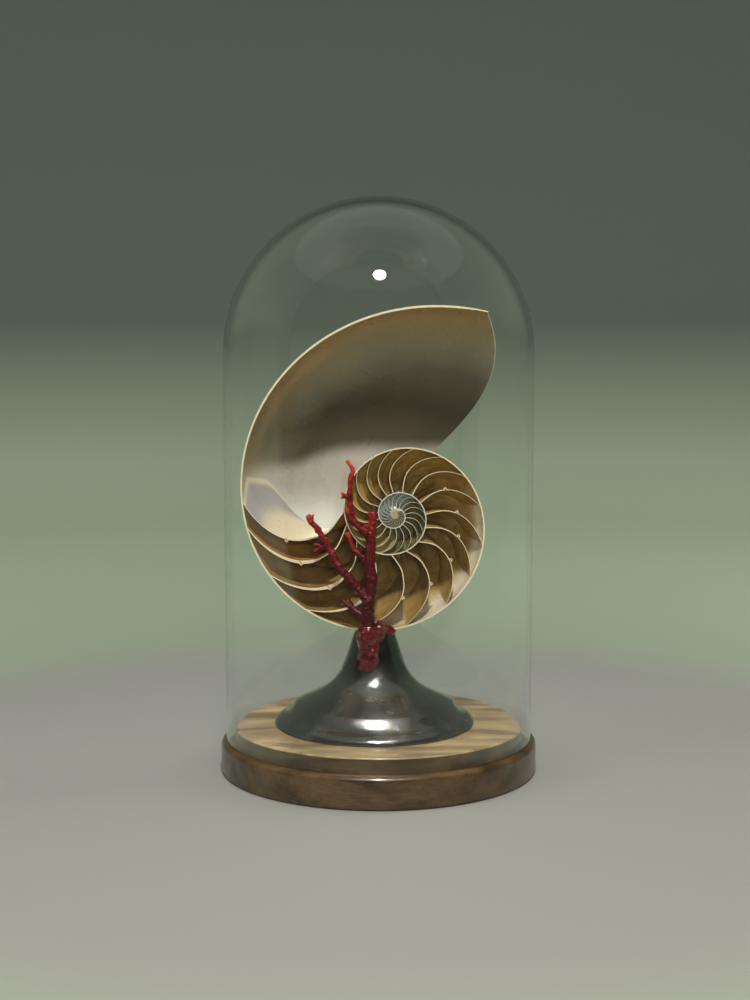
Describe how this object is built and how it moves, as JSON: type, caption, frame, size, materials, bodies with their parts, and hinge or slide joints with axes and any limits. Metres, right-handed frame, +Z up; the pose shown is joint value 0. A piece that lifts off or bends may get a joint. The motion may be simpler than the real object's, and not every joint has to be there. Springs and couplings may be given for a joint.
{
  "type": "nautilus shell half",
  "caption": "Nautilus shell half cut down its middle to show its chambers, on a polished metal foot with a red coral branch, on a turned wood base under a glass dome.",
  "frame": {"origin": "centre of the wood base's underside", "axes": "+Z up; the shell's flat cut face looks along -Y; +X is to the right of someone who faces the cut"},
  "size_m": [0.1652, 0.1652, 0.2973],
  "materials": {
    "wood": "satin lacquer",
    "foot_metal": "polished",
    "shell": "nacre inside, cream outside with rust stripes",
    "coral": "smooth, natural",
    "resin": "glossy, see-through",
    "glass": "clear, polished"
  },
  "bodies": {
    "root": {"wood_base": "wood", "metal_foot": "foot_metal", "nautilus_shell_half": "shell", "coral_trunk": "coral", "coral_left_branch": "coral", "coral_left_twig": "coral", "coral_centre_stem": "coral", "coral_tall_branch": "coral", "coral_tall_twig": "coral", "coral_rear_branch": "coral", "coral_low_branch": "coral", "red_resin": "resin", "glass_dome": "glass"}
  },
  "joints": []
}
